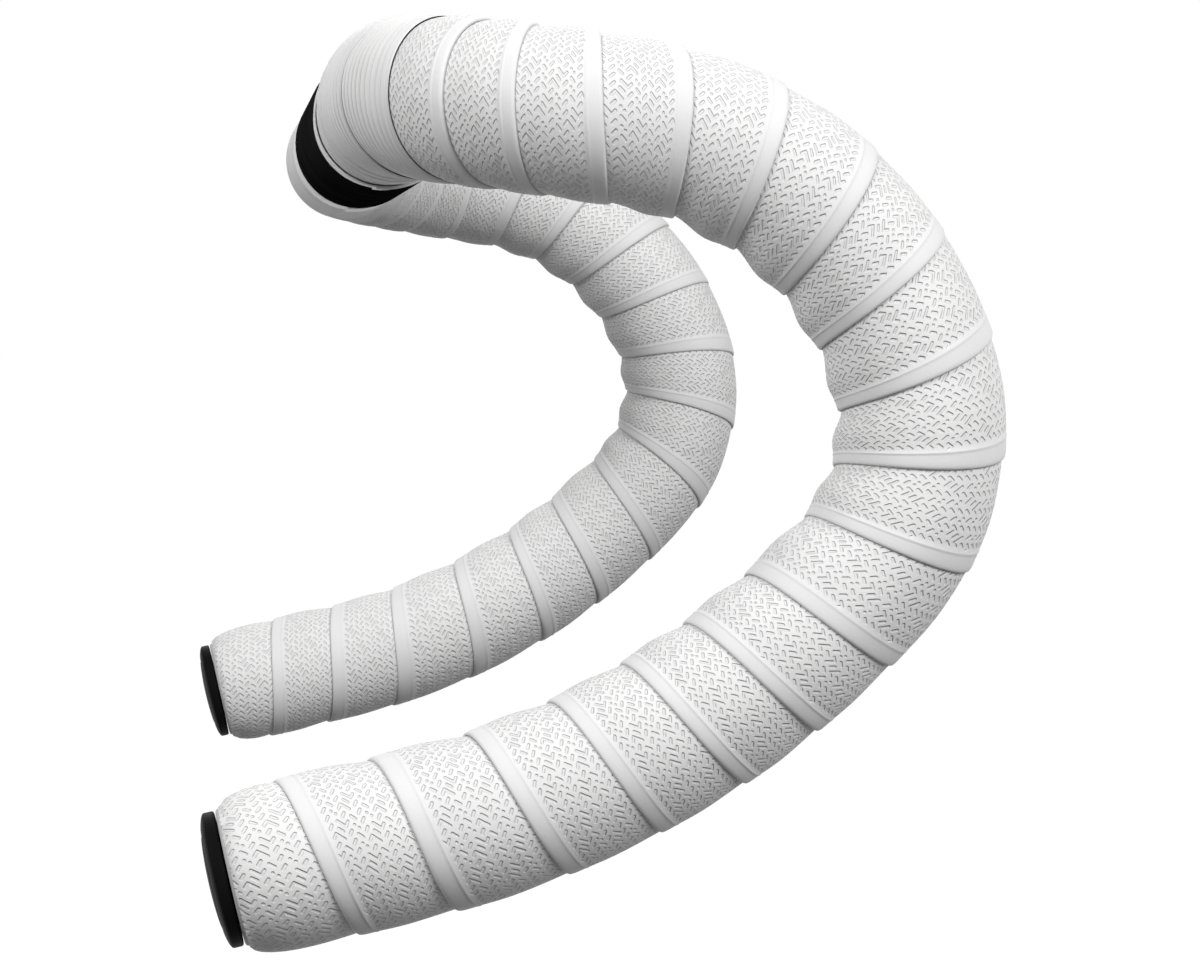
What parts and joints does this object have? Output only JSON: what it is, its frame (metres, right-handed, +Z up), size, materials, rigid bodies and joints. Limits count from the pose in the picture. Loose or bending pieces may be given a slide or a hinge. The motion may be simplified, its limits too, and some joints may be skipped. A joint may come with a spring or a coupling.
{
  "type": "tape-wrapped drop handlebar",
  "caption": "Road bicycle drop handlebar with a black tube, white embossed cushioned tape wound on both sides, finishing strips and black end plugs.",
  "frame": {"origin": "on the bar's axis in the middle of the bare clamp zone, where the stem holds it", "axes": "+X forward, +Y along the bar to the rider's left, +Z up"},
  "size_m": [0.1529, 0.4324, 0.1782],
  "materials": {
    "bar_black": "black anodised, satin",
    "tape_white": "embossed, soft satin",
    "strip_white": "smooth adhesive film",
    "plug_black": "moulded, satin"
  },
  "bodies": {
    "root": {"handlebar": "bar_black", "tape_right": "tape_white", "tape_left": "tape_white", "finishing_strip_right": "strip_white", "finishing_strip_left": "strip_white", "end_plug_right": "plug_black", "end_plug_left": "plug_black"}
  },
  "joints": []
}
